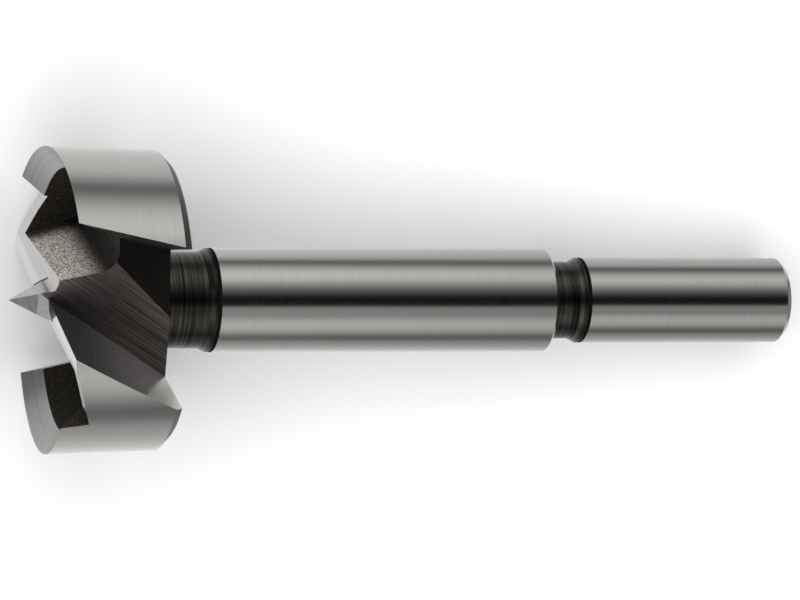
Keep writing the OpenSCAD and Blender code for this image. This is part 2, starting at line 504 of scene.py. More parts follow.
@dataclass
class SteelShader(TreeBuilder):
    """Material of one finish, patterned on the bit's own coordinates in millimetres."""

    finish: Finish
    look: SteelFinish
    sizes: BitSizes
    least_radius: float = 0.1
    ring_stretch: float = 0.25
    line_stretch: float = 0.09
    across_rise: float = 0.6
    mark_detail: float = 4.0
    pit_scale: float = 3.1
    pit_detail: float = 2.0
    noise_roughness: float = 0.65
    bump_gain: float = 4.0
    gloss_range: float = 0.04
    specular: float = 0.06
    material: bpy.types.Material = field(init=False)

    def __post_init__(self) -> None:
        """Makes the empty material."""
        self.material = bpy.data.materials.new(f"steel_{self.finish.value}")
        self.material.use_nodes = True
        super().__init__(self.material.node_tree)

    def dot(self, vector: bpy.types.NodeSocket, direction: Vector) -> bpy.types.NodeSocket:
        """Distance along a direction.

        Args:
            vector: The place.
            direction: The direction.

        Returns:
            The distance.
        """
        made = self.node("ShaderNodeVectorMath", operation="DOT_PRODUCT")
        self.feed(made.inputs[0], vector)
        self.feed(made.inputs[1], tuple(direction))
        return made.outputs["Value"]

    def noise(self, vector: bpy.types.NodeSocket, scale: float, detail: float) -> bpy.types.NodeSocket:
        """Soft noise.

        Args:
            vector: Where it is read.
            scale: Its frequency.
            detail: Its octaves.

        Returns:
            The noise from 0 to 1.
        """
        made = self.node("ShaderNodeTexNoise")
        self.feed(made.inputs["Vector"], vector)
        made.inputs["Scale"].default_value = scale
        made.inputs["Detail"].default_value = detail
        made.inputs["Roughness"].default_value = self.noise_roughness
        return made.outputs["Fac"]

    def spread(
        self, value: bpy.types.NodeSocket, low: float, high: float, first: float = 0.0, last: float = 1.0
    ) -> bpy.types.NodeSocket:
        """Stretches a range to another one, with soft ends.

        Args:
            value: The value.
            low: What becomes the first value.
            high: What becomes the last value.
            first: The first value.
            last: The last value.

        Returns:
            The stretched value.
        """
        made = self.node("ShaderNodeMapRange", interpolation_type="SMOOTHSTEP")
        self.feed(made.inputs["Value"], value)
        made.inputs["From Min"].default_value = low
        made.inputs["From Max"].default_value = high
        made.inputs["To Min"].default_value = first
        made.inputs["To Max"].default_value = last
        return made.outputs[0]

    def place(self) -> Place:
        """The shaded place on the upright bit, in millimetres.

        Returns:
            The place and its three parts.
        """
        vector = self.node("ShaderNodeAttribute", attribute_name=BIT_COORDINATES).outputs["Vector"]
        parts = self.node("ShaderNodeSeparateXYZ")
        self.feed(parts.inputs[0], vector)
        return Place(vector, *parts.outputs)

    def radius(self, place: Place) -> bpy.types.NodeSocket:
        """Distance of a place from the bit's axis."""
        square = self.maths("MULTIPLY_ADD", place.x, place.x, self.maths("MULTIPLY", place.y, place.y))
        return self.maths("MAXIMUM", self.maths("SQRT", square), self.least_radius)

    def share(self, painted_shade: PaintedShade) -> bpy.types.NodeSocket:
        """Share of the colour that a painted shade leaves.

        Args:
            painted_shade: The painted shade.

        Returns:
            The share.
        """
        place = self.place()
        if painted_shade.by is PaintedShadeBy.RADIUS:
            return self.spread(self.radius(place), painted_shade.first, painted_shade.last, painted_shade.first_share, painted_shade.last_share)
        edge = self.sizes.rim_z
        return self.spread(place.z, edge + painted_shade.first, edge + painted_shade.last, painted_shade.first_share, painted_shade.last_share)

    def grain_vector(self) -> bpy.types.NodeSocket:
        """Coordinates in which the grain's marks are round spots of one unit.

        Returns:
            The coordinates.
        """
        place = self.place()
        pitch = self.look.pitch
        if self.look.grain in (Grain.AROUND, Grain.RINGS):
            radius = self.radius(place)
            along = self.maths("ADD", place.z, radius) if self.look.grain is Grain.AROUND else radius
            turns = [self.maths("DIVIDE", part, radius) for part in (place.x, place.y)]
            around = [self.maths("MULTIPLY", turn, self.ring_stretch) for turn in turns]
            return self.combine(*around, self.maths("DIVIDE", along, pitch))
        if self.look.grain is Grain.SCATTERED:
            return self.combine(*(self.maths("DIVIDE", part, pitch) for part in place[1:]))
        along, across = self.mark_directions()
        length = self.maths("MULTIPLY", self.dot(place.vector, along), self.line_stretch)
        return self.combine(length, self.maths("DIVIDE", self.dot(place.vector, across), pitch), 0.0)

    def mark_directions(self) -> tuple[Vector, Vector]:
        """Directions along and across straight tool marks, the same on both wings apart from their sign.

        Returns:
            The direction along the marks and the one across them.
        """
        s = self.sizes
        lip = turn_z(-s.lip_clock)
        if self.look.grain is Grain.ALONG_LIP:
            return lip @ Vector((1, 0, 0)), lip @ Vector((0, 1, self.across_rise)).normalized()
        along = s.rake_facing.cross(s.web_end_facing).normalized()
        return along, along.cross(s.web_end_facing).normalized()

    def build(self) -> bpy.types.Material:
        """Builds the node tree.

        Returns:
            The finished material.
        """
        look = self.look
        vector = self.grain_vector()
        marks = self.noise(vector, 1.0, self.mark_detail)
        tone = self.spread(marks, *look.contrast)
        if look.speckle:
            pits = self.noise(vector, self.pit_scale, self.pit_detail)
            clear = self.spread(pits, 0.5 - look.speckle / 2, 0.5 + look.speckle / 4)
            tone = self.maths("MULTIPLY", tone, clear)
        # The mix node repeats its socket names for each type of data, so its colours go by number
        colour = self.node("ShaderNodeMix", data_type="RGBA")
        self.feed(colour.inputs["Factor"], tone)
        colour.inputs[6].default_value = (*look.dark, 1.0)
        colour.inputs[7].default_value = (*look.light, 1.0)
        shade = colour.outputs[2]
        # Each painted shade darkens the colour by its share
        for painted_shade in look.painted_shades:
            darkened = self.node("ShaderNodeVectorMath", operation="SCALE")
            self.feed(darkened.inputs[0], shade)
            self.feed(darkened.inputs["Scale"], self.share(painted_shade))
            shade = darkened.outputs[0]
        bump = self.node("ShaderNodeBump")
        bump.inputs["Strength"].default_value = min(1.0, look.bump * self.bump_gain)
        bump.inputs["Distance"].default_value = look.bump * look.pitch * MM
        self.feed(bump.inputs["Height"], marks)
        shader = self.node("ShaderNodeBsdfPrincipled")
        self.feed(shader.inputs["Base Color"], shade)
        shader.inputs["Metallic"].default_value = look.metallic
        shader.inputs["Specular IOR Level"].default_value = self.specular
        rough = self.maths("MULTIPLY_ADD", tone, -self.gloss_range, look.roughness + self.gloss_range / 2)
        self.feed(shader.inputs["Roughness"], rough)
        self.feed(shader.inputs["Normal"], bump.outputs[0])
        output = self.node("ShaderNodeOutputMaterial")
        self.tree.links.new(shader.outputs[0], output.inputs["Surface"])
        return self.material


@dataclass
class Palette:
    """The materials of all finishes, in one fixed order."""

    sizes: BitSizes
    order: list[Finish] = field(default_factory=lambda: list(Finish))
    materials: dict[Finish, bpy.types.Material] = field(default_factory=dict)

    def build(self) -> None:
        """Builds every material."""
        for finish in self.order:
            self.materials[finish] = SteelShader(finish, FINISHES[finish], self.sizes).build()
        LOG.info("finishes: %s", ", ".join(finish.value for finish in self.order))

    def index(self, finish: Finish) -> int:
        """Place of a finish among the material slots."""
        return self.order.index(finish)


class Solid:
    """A closed mesh in the bit's own millimetres that can be added to, cut and crossed with others."""

    def __init__(self, mesh: bpy.types.Mesh) -> None:
        """Takes over a mesh.

        Args:
            mesh: A closed mesh.
        """
        self.mesh = mesh

    @classmethod
    def from_faces(cls, points: list[Vector], faces: list[list[int]]) -> "Solid":
        """Makes a solid of points and faces, with its faces turned outwards.

        Args:
            points: The corners.
            faces: The faces as lists of corner numbers.

        Returns:
            The solid.
        """
        mesh = bpy.data.meshes.new("solid")
        mesh.from_pydata(points, [], faces)
        shape = bmesh.new()
        shape.from_mesh(mesh)
        bmesh.ops.remove_doubles(shape, verts=shape.verts, dist=SOLID_MERGE)
        bmesh.ops.recalc_face_normals(shape, faces=shape.faces)
        shape.to_mesh(mesh)
        shape.free()
        return cls(mesh)

    @classmethod
    def prism(cls, outline: list[tuple[float, float]], start: float, end: float, along: str = "X") -> "Solid":
        """Extrudes an outline in the plane of one level axis and the height.

        Args:
            outline: Corners as pairs of a level distance and a height.
            start: Where the extrusion starts.
            end: Where it ends.
            along: The axis of the extrusion, X or Y.

        Returns:
            The solid.
        """
        points = []
        for place in (start, end):
            for side, height in outline:
                level = (place, side) if along == "X" else (side, place)
                points.append(Vector((*level, height)))
        count = len(outline)
        faces = [list(range(count)), list(range(count, 2 * count))]
        faces += [[k, (k + 1) % count, (k + 1) % count + count, k + count] for k in range(count)]
        return cls.from_faces(points, faces)

    @classmethod
    def turned(cls, outline: list[tuple[float, float]], segments: int = 256) -> "Solid":
        """Turns an outline about the axis; an outline that doesn't reach the axis makes a ring.

        Args:
            outline: Corners as pairs of a radius and a height, all round.
            segments: Facets around the axis.

        Returns:
            The solid.
        """
        count = len(outline)
        points = []
        for step in range(segments):
            angle = 2 * math.pi * step / segments
            points += [Vector((r * math.cos(angle), r * math.sin(angle), z)) for r, z in outline]
        faces = []
        for step in range(segments):
            here, there = step * count, (step + 1) % segments * count
            for k in range(count):
                after = (k + 1) % count
                if outline[k][0] == 0 and outline[after][0] == 0:
                    continue
                faces.append([here + k, here + after, there + after, there + k])
        return cls.from_faces(points, faces)

    @classmethod
    def bar(cls, radius: float, low: float, high: float) -> "Solid":
        """A round bar on the axis between two heights."""
        return cls.turned([(0, low), (radius, low), (radius, high), (0, high)])

    def moved(self, matrix: Matrix) -> "Solid":
        """A moved copy.

        Args:
            matrix: The movement.

        Returns:
            The copy.
        """
        mesh = self.mesh.copy()
        mesh.transform(matrix)
        return Solid(mesh)

    def both(self) -> "Solid":
        """The solid together with its copy on the other wing."""
        return self | self.moved(turn_z(180))

    def _combine(self, other: "Solid", operation: str) -> "Solid":
        """Combines two solids.

        Args:
            other: The second solid.
            operation: Blender's name of the operation.

        Returns:
            The combined solid.
        """
        scene = bpy.context.scene.collection
        first = bpy.data.objects.new("first", self.mesh)
        second = bpy.data.objects.new("second", other.mesh)
        scene.objects.link(first)
        scene.objects.link(second)
        step = first.modifiers.new("combine", "BOOLEAN")
        step.operation = operation
        step.solver = "EXACT"
        step.object = second
        shown = first.evaluated_get(bpy.context.evaluated_depsgraph_get())
        made = Solid(bpy.data.meshes.new_from_object(shown))
        bpy.data.objects.remove(first)
        bpy.data.objects.remove(second)
        return made

    def __or__(self, other: "Solid") -> "Solid":
        """Both solids as one."""
        return self._combine(other, "UNION")

    def __sub__(self, other: "Solid") -> "Solid":
        """The solid less the other one."""
        return self._combine(other, "DIFFERENCE")

    def __and__(self, other: "Solid") -> "Solid":
        """What both solids share."""
        return self._combine(other, "INTERSECT")


@dataclass(frozen=True)
class Split:
    """A straight line across the flat face that looks one way; past it the face has another finish.

    A limit is a second line, and only the part of the face past the limit is changed.
    """

    facing: Vector
    place: Vector
    side: Vector
    finish: Finish
    limit: tuple[Vector, Vector] | None = None

    def on_wing(self, turn: float) -> "Split":
        """The same split on a wing of the head.

        Args:
            turn: The wing's angle in degrees.

        Returns:
            The turned split.
        """
        wing = turn_z(turn)
        limit = (wing @ self.limit[0], wing @ self.limit[1]) if self.limit else None
        return Split(wing @ self.facing, wing @ self.place, wing @ self.side, self.finish, limit)

    @staticmethod
    def past(
        shape: bmesh.types.BMesh, faces: list[bmesh.types.BMFace], place: Vector, side: Vector
    ) -> list[bmesh.types.BMFace]:
        """Cuts faces along a line.

        Args:
            shape: The head, scoring edge at zero height.
            faces: The faces.
            place: A point on the line.
            side: The direction past the line.

        Returns:
            The parts of the faces past the line.
        """
        parts = {part for face in faces for part in (*face.edges, *face.verts)}
        whole = [*faces, *parts]
        cut = bmesh.ops.bisect_plane(shape, geom=whole, plane_co=place, plane_no=side, dist=CUT_MERGE)
        found = [part for part in cut["geom"] if isinstance(part, bmesh.types.BMFace)]
        return [face for face in found if (face.calc_center_median() - place).dot(side) > 0]

    def apply(self, shape: bmesh.types.BMesh, slot: int) -> None:
        """Cuts the face along the line and gives the part past it another material.

        Args:
            shape: The head, scoring edge at zero height.
            slot: The material slot of the new finish.
        """
        faces = [face for face in shape.faces if face.normal.dot(self.facing) > FLAT_DOT]
        if self.limit:
            faces = self.past(shape, faces, *self.limit)
        for face in self.past(shape, faces, self.place, self.side):
            face.material_index = slot


@dataclass(frozen=True)
class FaceLimits:
    """Limits that tell the head's faces apart: parts of a face's direction, and distances in millimetres."""

    chamfer_down: float = 0.3
    chamfer_out: float = 0.4
    back_down: float = 0.9
    floor_up: float = 0.99
    wall_out: float = 0.97
    point_across: float = 0.8
    bevel_down: float = 0.4
    near_floor: float = 0.1
    near_wall: float = 0.1
    near_back: float = 0.4
    near_bevel: float = 0.3
    foot_radius: float = 3.6
    foot_depth: float = 1.7


@dataclass
class CuttingHead:
    """The head: a turned blank with hollows, ground lips and rims, chip throats and a centre point.

    Attributes:
        sizes: Sizes of the bit.
        limits: Limits that tell the faces apart.
        past: How far the cutters reach past what they cut.
        hollow_steps: Steps of the fillet in a hollow.
        foot_steps: Steps of the fillet at the point's foot.
        rake_rear: Line along a rake face behind which it is lighter: along the lip and up.
        foot_patch: Line on a web end beside which it is ground: across the point and up.
        relief_end: Centre of the round end of a lip's relief: along the lip and across it.
        relief_end_r: Radius of that end.
        relief_end_turns: Directions of the straight lines that make it round.
        painted_point_reflection: Line beside which a lip is painted dark as a reflection of the point: along
            the lip and across it.
    """

    sizes: BitSizes
    limits: FaceLimits = FaceLimits()
    past: float = 1.0
    hollow_steps: int = 16
    foot_steps: int = 12
    rake_rear: tuple[tuple[float, float], ...] = ((7.55, -13.36), (15.94, -9.41))
    foot_patch: tuple[tuple[float, float], ...] = ((1.34, 0.343), (0.42, -0.798))
    relief_end: tuple[float, float] = (1.15, 2.35)
    relief_end_r: float = 0.9
    relief_end_turns: tuple[float, ...] = (15, 30, 45, 60, 75)
    painted_point_reflection: tuple[tuple[float, float], ...] = ((-4.3, 0.36), (-2.08, 1.94))

    def __post_init__(self) -> None:
        """Works out how far the cutters reach."""
        self.reach = self.sizes.head_r + 4 * self.past
        self.above = self.sizes.point_height + self.past
        self.below = -self.sizes.head_len - self.past

    def at_lip(self) -> Matrix:
        """Turn from the lips' frame to the bit's."""
        return turn_z(-self.sizes.lip_clock)

    def at_point(self) -> Matrix:
        """Turn from the centre point's frame to the bit's."""
        return turn_z(-self.sizes.point_clock)

    def blank(self) -> Solid:
        """The turned blank, tapered to the back."""
        s = self.sizes
        return Solid.turned(
            [
                (0, s.back_dish - s.head_len),
                (s.neck_r, s.back_dish - s.head_len),
                (s.back_r - s.back_chamfer, -s.head_len),
                (s.back_edge_r, s.back_chamfer - s.head_len),
                (s.head_r, 0),
                (0, 0),
            ]
        )

    def hollow(self) -> Solid:
        """The forged hollow behind one lip."""
        s = self.sizes
        foot_n = s.web_back + (s.hollow_depth - s.lip_drop) * tan_deg(s.web_slope)
        top_n = s.web_back - (s.lip_drop + self.above) * tan_deg(s.web_slope)
        side = s.hollow_fillet * tan_deg((90 - s.web_slope) / 2)
        centre = (foot_n + side, s.hollow_fillet - s.hollow_depth)
        sweep = 90 - s.web_slope
        turns = (180 + s.web_slope + sweep * k / self.hollow_steps for k in range(self.hollow_steps + 1))
        outline = [
            (top_n, self.above),
            *arc(centre, s.hollow_fillet, map(math.radians, turns)),
            (self.reach, -s.hollow_depth),
            (self.reach, self.above),
        ]
        across = Solid.prism(outline, -self.reach, self.reach).moved(self.at_lip() @ turn_z(s.web_close))
        return across & Solid.bar(s.hollow_r, -s.head_len, 2 * self.above)

    def rim_sector(self, overlap: float) -> Solid:
        """The sector of the head that keeps its scoring rim.

        Args:
            overlap: How far it reaches past the rim's leading end.

        Returns:
            The sector.
        """
        s = self.sizes
        slope = tan_deg(s.rim_start_slope)
        outline = [
            (overlap - self.above * slope, self.above),
            (overlap - self.below * slope, self.below),
            (-self.reach, self.below),
            (-self.reach, self.above),
        ]
        sector = Solid.prism(outline, -s.head_r / 3, self.reach).moved(turn_z(s.rim_start))
        core_r = s.hollow_r - 2 * self.past
        low = self.below - self.past
        high = low + s.head_len + 2 * self.above
        return sector - Solid.bar(core_r, low, high)

    def lip_relief(self) -> Solid:
        """The clearance behind one lip, ground across the rim up to its leading end."""
        s = self.sizes
        fall = (self.reach - s.relief_n) * tan_deg(s.relief_clearance)
        start_n = -s.lip_ahead - self.past
        in_point_n = s.lip_ahead + self.past / 2
        behind = Solid.prism(
            [
                (start_n, self.past * tan_deg(s.land_clearance) - s.lip_drop),
                (s.relief_n, s.relief_z),
                (self.reach, s.relief_z - fall),
                (self.reach, self.above),
                (start_n, self.above),
            ],
            -self.reach,
            s.web_end_start + 2 * self.past,
        )
        low, high = self.below, self.below + self.reach
        corners = [(-self.reach, low), (in_point_n, low), (in_point_n, high), (-self.reach, high)]
        kept = Solid.prism(corners, 0.0, self.reach)
        return (behind - kept).moved(self.at_lip()) - self.rim_sector(0.0)

    def rim_bevel(self) -> Solid:
        """The bevel ground inside one scoring edge."""
        s = self.sizes
        slope = s.bevel_depth / s.rim_wall
        inner_r = s.hollow_r - self.past
        cone = Solid.turned(
            [
                (inner_r, -s.bevel_depth - self.past * slope),
                (self.reach, (self.reach - s.head_r) * slope),
                (self.reach, self.above),
                (inner_r, self.above),
            ]
        )
        start, tilt = math.radians(s.rim_start), math.radians(s.rim_tilt)
        drop = s.head_r * math.cos(start) * math.sin(tilt) - s.edge_grind
        tilted = Matrix.Translation((0, 0, drop)) @ Matrix.Rotation(tilt, 4, "Y")
        return self.rim_sector(self.past / 2) & cone.moved(tilted)

    def block(self, side: Callable[[float], float], far: float) -> list[tuple[float, float]]:
        """Corners of a cutter with a sloping side and a far one, from below the head to above the point."""
        low, high = self.below, self.above
        return [(side(low), low), (side(high), high), (far, high), (far, low)]

    def throat(self) -> Solid:
        """The chip throat ahead of one lip."""
        s, reach = self.sizes, self.reach
        rake = Solid.prism(self.block(s.rake_n, reach), -reach, reach)
        web_end = Solid.prism(self.block(s.web_end_x, reach), -reach, reach, along="Y")
        flat = Solid.prism(self.block(lambda z: s.flat_x, reach), -reach, reach, along="Y")
        rim_end = Solid.prism(self.block(s.rim_end, -reach), 0.0, reach)
        return rake.moved(self.at_lip()) & (web_end.moved(self.at_point()) | flat) & rim_end

    def centre_point(self) -> Solid:
        """The square centre point with its ground foot."""
        s = self.sizes
        base = -s.lip_drop - s.web_back
        flat = tan_deg(s.point_half_angle)
        fall = math.radians(s.relief_clearance)
        half = math.radians(s.point_half_angle)
        stand_off = s.point_fillet - s.fillet_sink
        reach_x = stand_off / math.cos(half) + s.point_height * flat
        reach_z = stand_off / math.cos(fall) + s.relief_z + s.relief_n * math.tan(fall)
        fillet_x = (reach_x - flat * reach_z) / (1 - flat * math.tan(fall))
        fillet_z = reach_z - fillet_x * math.tan(fall)
        first = math.pi + half - math.acos(stand_off / s.point_fillet)
        last = 1.5 * math.pi - fall + math.acos(stand_off / s.point_fillet)
        angles = (first + (last - first) * k / self.foot_steps for k in range(self.foot_steps + 1))
        side = arc((fillet_x, fillet_z), s.point_fillet, angles)
        side.append((side[-1][0], base))
        mirrored = [(-x, z) for x, z in reversed(side)]
        filleted = Solid.prism([(0, s.point_height), *side, *mirrored], -self.reach, self.reach)
        foot = (s.point_height - base) * flat
        corners = [(0, s.point_height), (foot, base), (-foot, base)]
        plain = Solid.prism(corners, -self.reach, self.reach, along="Y")
        return (filleted & plain).moved(self.at_point())

    def solid(self) -> Solid:
        """The finished head, scoring edge at zero height.

        Returns:
            The head.
        """
        shape = self.blank() - self.hollow().both() - self.lip_relief().both() - self.rim_bevel().both()
        shape = (shape | self.centre_point()) - self.throat().both()
        LOG.info("head: %d faces", len(shape.mesh.polygons))
        return shape

    def splits(self) -> list[Split]:
        """Where the finish changes within a flat face.

        These are the rake's rear, the web end and the lip beside the point, and the relief's round end.

        Returns:
            The splits of both wings.
        """
        s, lip, up = self.sizes, self.at_lip(), Vector((0, 0, 1))
        rake, web_end = s.rake_facing, s.web_end_facing
        land, relief = (s.clearance_facing(angle) for angle in (s.land_clearance, s.relief_clearance))
        rear, outer = (lip @ Vector((u, s.rake_n(z), z)) for u, z in self.rake_rear)
        upper, lower = (self.at_point() @ Vector((s.web_end_x(z), y, z)) for y, z in self.foot_patch)
        foot = Vector((0, 0, s.point_foot))
        found = [
            Split(rake, rear, rake.cross(outer - rear), Finish.REAR),
            Split(web_end, upper, (lower - upper).cross(web_end), Finish.LIP, (foot, -up)),
            Split(web_end, foot, up, Finish.POINT),
        ]
        # Painted reflection: beside the point, the land and the relief take the dark flat finish for the
        # point's dark facet seen in them
        first, last = (lip @ Vector((*mark, 0)) for mark in self.painted_point_reflection)
        beside = (last - first).cross(up)
        within = (last, lip @ Vector((-1, 0, 0)))
        found += [Split(facing, first, beside, Finish.FLAT, within) for facing in (land, relief)]
        centre = lip @ Vector((*self.relief_end, 0))
        for turn in self.relief_end_turns:
            angle = math.radians(turn)
            side = lip @ Vector((math.cos(angle), math.sin(angle), 0))
            found.append(Split(relief, centre + side * self.relief_end_r, side, Finish.FLAT))
        return [split.on_wing(turn) for split in found for turn in WINGS]

    def flat_finish(self, place: Vector, facing: Vector) -> Finish | None:
        """The finish of a flat face of the first wing.

        Args:
            place: The face's middle, scoring edge at zero height.
            facing: The face's outward direction.

        Returns:
            The finish, or None for any other face.
        """
        s = self.sizes
        rim_end, rim_start = math.radians(s.rim_end_slope), math.radians(s.rim_start_slope)
        beside_neck = place.dot(self.at_point() @ Vector((0, 1, 0))) > s.neck_r
        flats = (
            (s.rake_facing, Finish.RAKE),
            (s.web_end_facing, Finish.FLAT if beside_neck else Finish.MILLED),
            (Vector((1, 0, 0)), Finish.FLAT),
            (s.clearance_facing(s.land_clearance), Finish.LAND),
            (s.clearance_facing(s.relief_clearance), Finish.LIP),
            (Vector((0, -math.cos(rim_end), math.sin(rim_end))), Finish.MILLED),
            (turn_z(s.rim_start) @ Vector((0, math.cos(rim_start), math.sin(rim_start))), Finish.INNER),
        )
        return next((finish for direction, finish in flats if facing.dot(direction) > FLAT_DOT), None)

    def finish_of(self, place: Vector, facing: Vector) -> Finish:
        """The finish of a face of the head.

        Args:
            place: The face's middle, scoring edge at zero height.
            facing: The face's outward direction.

        Returns:
            The finish.
        """
        s, limits = self.sizes, self.limits
        radius = math.hypot(place.x, place.y)
        outward = (facing.x * place.x + facing.y * place.y) / max(radius, TINY)
        if facing.z < -limits.chamfer_down and outward > limits.chamfer_out:
            return Finish.CHAMFER
        if facing.z < -limits.back_down:
            return Finish.TURNED
        # Painted shade: the hollow's floor takes the dark inner finish, for the shade deep in the recess
        if facing.z > limits.floor_up and place.z < limits.near_floor - s.hollow_depth:
            return Finish.INNER
        if outward > limits.wall_out and radius > s.back_r - limits.near_back:
            return Finish.GROUND
        if outward < -limits.wall_out and abs(radius - s.hollow_r) < limits.near_wall:
            return Finish.INNER
        if place.z > s.point_foot:
            across = abs(facing.dot(self.at_point() @ Vector((1, 0, 0))))
            return Finish.POINT if across > limits.point_across else Finish.LIP
        for turn in WINGS:
            back = turn_z(-turn)
            finish = self.flat_finish(back @ place, back @ facing)
            if finish:
                return finish
        if radius < limits.foot_radius and place.z > -limits.foot_depth:
            return Finish.LIP
        if radius > s.hollow_r - limits.near_bevel and facing.z > -limits.bevel_down:
            return Finish.BEVEL
        return Finish.FORGED


class Corner(NamedTuple):
    """A corner of the turned outline: its radius, its height and its mark."""

    radius: float
    height: float
    mark: float


@dataclass
class TurnedStem:
    """Shank, groove, shaft and neck: one outline turned by a node tree, with rings left by the tool."""

    sizes: BitSizes
    palette: Palette
    segments: int = 160
    ring_pitch: float = 0.3
    ring_depth: float = 0.04
    ring_level: float = 0.6
    steps_per_ring: int = 3
    flare_steps: int = 12
    flare_ease: float = 0.2
    into_head: float = 1.0

    def outline(self) -> list[Corner]:
        """The turned outline from the shank's end into the head.

        Returns:
            The corners. A face takes the mean of its corners' marks.
        """
        s = self.sizes
        shank_r, shaft_r = s.shank_d / 2, s.shaft_d / 2
        # Corners marked for painted shade turn the undercuts and the edge breaks before them near black
        return [
            Corner(0.0, 0.0, GROUND),
            Corner(shank_r - s.shank_chamfer, 0.0, GROUND),
            Corner(shank_r, s.shank_chamfer, GROUND),
            Corner(shank_r, s.shank_len - s.shaft_edge, GROUND),
            Corner(shank_r - s.shaft_edge, s.shank_len, PAINTED_SHADE_MARK),
            *self.groove(s.shank_len, s.groove_len, s.groove_d / 2, shank_r),
            Corner(shaft_r - s.shaft_edge, s.shaft_z, GROUND),
            Corner(shaft_r, s.shaft_z + s.shaft_edge, GROUND),
            Corner(shaft_r, s.neck_z - s.shaft_edge, GROUND),
            Corner(shaft_r - s.shaft_edge, s.neck_z, PAINTED_SHADE_MARK),
            *self.groove(s.neck_z, s.neck_len + self.into_head, s.neck_r, shaft_r),
            Corner(0.0, s.head_z + self.into_head, GROUND),
        ]

    def groove(self, start: float, length: float, radius: float, collar_r: float) -> list[Corner]:
        """A turned groove with an undercut and a flared collar, in steps finer than the tool's rings.

        Args:
            start: Height of its lower end.
            length: Its length, collar included.
            radius: Its radius.
            collar_r: Radius of its collar.

        Returns:
            Its corners.
        """
        s = self.sizes
        low_r = collar_r - s.undercut_depth
        collar = start + s.undercut_len
        # The undercut's corners are marked for painted shade
        line = [Corner(low_r, start, PAINTED_SHADE_MARK), Corner(low_r, collar, PAINTED_SHADE_MARK)]
        for k in range(self.flare_steps + 1):
            share = k / self.flare_steps
            rise = 1 - share + self.flare_ease * math.sin(2 * math.pi * share) / (2 * math.pi)
            line.append(Corner(radius + (collar_r - radius) * rise, collar + s.flare_len * share, ROUGH))
        floor = collar + s.flare_len
        rest = start + length - floor
        steps = round(rest / (self.ring_pitch / self.steps_per_ring))
        line += [Corner(radius, floor + rest * k / steps, ROUGH) for k in range(1, steps + 1)]
        return line

    def tree(self) -> bpy.types.NodeTree:
        """The node tree that turns the outline.

        Returns:
            The tree, with its inputs named in the interface.
        """
        tree = bpy.data.node_groups.new("turn_outline", "GeometryNodeTree")
        for name, kind in (
            ("Geometry", "NodeSocketGeometry"),
            ("Segments", "NodeSocketInt"),
            ("Ring pitch", "NodeSocketFloat"),
            ("Ring depth", "NodeSocketFloat"),
            ("Seed", "NodeSocketFloat"),
            ("Ground", "NodeSocketMaterial"),
            ("Turned", "NodeSocketMaterial"),
            ("Undercut shade", "NodeSocketMaterial"),
        ):
            tree.interface.new_socket(name, in_out="INPUT", socket_type=kind)
        tree.interface.new_socket("Geometry", in_out="OUTPUT", socket_type="NodeSocketGeometry")
        builder = TreeBuilder(tree)
        add, maths, link = builder.node, builder.maths, tree.links.new
        given = add("NodeGroupInput").outputs
        count = add("GeometryNodeAttributeDomainSize", component="MESH")
        link(given["Geometry"], count.inputs["Geometry"])
        around = maths("ADD", given["Segments"], 1.0)
        grid = add("GeometryNodeMeshGrid")
        link(count.outputs["Point Count"], grid.inputs["Vertices X"])
        link(around, grid.inputs["Vertices Y"])
        number = add("GeometryNodeInputIndex").outputs[0]
        # Half a step keeps the division clear of rounding
        corner = maths("FLOOR", maths("DIVIDE", maths("ADD", number, 0.5), around), 0.0)
        turn = maths("SUBTRACT", number, maths("MULTIPLY", corner, around))
        angle = maths("DIVIDE", maths("MULTIPLY", turn, 2 * math.pi), given["Segments"])
        place = add("GeometryNodeSampleIndex", data_type="FLOAT_VECTOR")
        link(given["Geometry"], place.inputs["Geometry"])
        link(add("GeometryNodeInputPosition").outputs[0], place.inputs["Value"])
        link(corner, place.inputs["Index"])
        mark = add("GeometryNodeSampleIndex", data_type="FLOAT")
        marks = add("GeometryNodeInputNamedAttribute", data_type="FLOAT")
        marks.inputs["Name"].default_value = TURNED_MARK
        link(given["Geometry"], mark.inputs["Geometry"])
        link(marks.outputs["Attribute"], mark.inputs["Value"])
        link(corner, mark.inputs["Index"])
        split = add("ShaderNodeSeparateXYZ")
        link(place.outputs[0], split.inputs[0])
        noise = add("ShaderNodeTexNoise", noise_dimensions="1D")
        rings = maths("DIVIDE", split.outputs["Z"], given["Ring pitch"])
        link(maths("ADD", rings, given["Seed"]), noise.inputs["W"])
        noise.inputs["Scale"].default_value = 1.0
        noise.inputs["Detail"].default_value = 1.0
        ring = maths("MULTIPLY", maths("SUBTRACT", noise.outputs[0], self.ring_level), given["Ring depth"])
        rough = maths("MINIMUM", mark.outputs[0], ROUGH)
        radius = maths("ADD", split.outputs["X"], maths("MULTIPLY", ring, rough))
        level = [maths("MULTIPLY", radius, maths(part, angle, 0.0)) for part in ("COSINE", "SINE")]
        turned = builder.combine(*level, split.outputs["Z"])
        keep = add("GeometryNodeStoreNamedAttribute", data_type="FLOAT", domain="POINT")
        keep.inputs["Name"].default_value = TURNED_MARK
        link(grid.outputs["Mesh"], keep.inputs["Geometry"])
        link(mark.outputs[0], keep.inputs["Value"])
        shape = add("GeometryNodeSetPosition")
        link(keep.outputs[0], shape.inputs["Geometry"])
        link(turned, shape.inputs["Position"])
        close = add("GeometryNodeMergeByDistance")
        close.inputs["Distance"].default_value = STEM_MERGE
        link(shape.outputs[0], close.inputs["Geometry"])
        real = add("GeometryNodeRealizeInstances")
        link(close.outputs[0], real.inputs[0])
        dressed = real.outputs[0]
